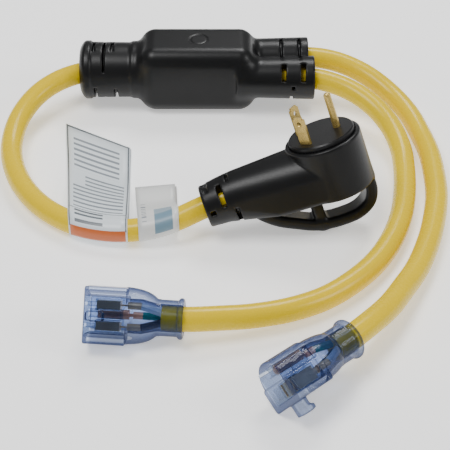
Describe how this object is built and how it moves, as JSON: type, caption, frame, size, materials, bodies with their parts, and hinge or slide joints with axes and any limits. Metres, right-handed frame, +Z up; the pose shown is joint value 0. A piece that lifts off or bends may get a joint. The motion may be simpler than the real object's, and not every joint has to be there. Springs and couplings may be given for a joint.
{
  "type": "power adapter",
  "caption": "Y-shaped power adapter with a right-angle pull-handle plug, a moulded junction box and clear lit socket ends on round cords.",
  "frame": {"origin": "middle of the junction box's underside, on the surface that everything lies on", "axes": "+X along the junction from its single inlet towards its two outlets, +Z up, +Y completes a right-handed frame, away from the plug"},
  "size_m": [0.3087, 0.3546, 0.0913],
  "materials": {
    "black_plastic": "satin moulded",
    "grey_plastic": "matte moulded",
    "clear_blue_plastic": "clear moulded plastic",
    "clear_plastic": "clear moulded plastic",
    "brass": "bright stamped",
    "copper": "bright stamped",
    "tinned_metal": "tinned",
    "black_insulation": "smooth",
    "white_insulation": "smooth",
    "green_insulation": "smooth",
    "yellow_jacket": "glossy extruded jacket",
    "tag_film": "smooth film"
  },
  "bodies": {
    "root": {"junction_cover": "black_plastic", "splice_housing": "grey_plastic", "splice_hot": "tinned_metal", "splice_neutral": "tinned_metal", "splice_ground": "tinned_metal", "junction_wire_hot": "black_insulation", "junction_wire_neutral": "white_insulation", "junction_wire_ground": "green_insulation", "plug_body": "black_plastic", "plug_insert": "black_plastic", "blade_hot": "brass", "blade_neutral": "brass", "ground_pin": "brass", "plug_crimps": "tinned_metal", "plug_wire_hot": "black_insulation", "plug_wire_neutral": "white_insulation", "plug_wire_ground": "green_insulation", "socket_a_shell": "clear_blue_plastic", "socket_a_carrier": "clear_plastic", "socket_a_contact_hot": "brass", "socket_a_contact_neutral": "brass", "socket_a_contact_ground": "copper", "socket_a_wire_hot": "black_insulation", "socket_a_wire_neutral": "white_insulation", "socket_a_wire_ground": "green_insulation", "socket_b_shell": "clear_blue_plastic", "socket_b_carrier": "clear_plastic", "socket_b_contact_hot": "brass", "socket_b_contact_neutral": "brass", "socket_b_contact_ground": "copper", "socket_b_wire_hot": "black_insulation", "socket_b_wire_neutral": "white_insulation", "socket_b_wire_ground": "green_insulation", "main_cord": "yellow_jacket", "branch_cord_a": "yellow_jacket", "branch_cord_b": "yellow_jacket", "care_tag": "tag_film", "maker_flag": "tag_film"}
  },
  "joints": []
}
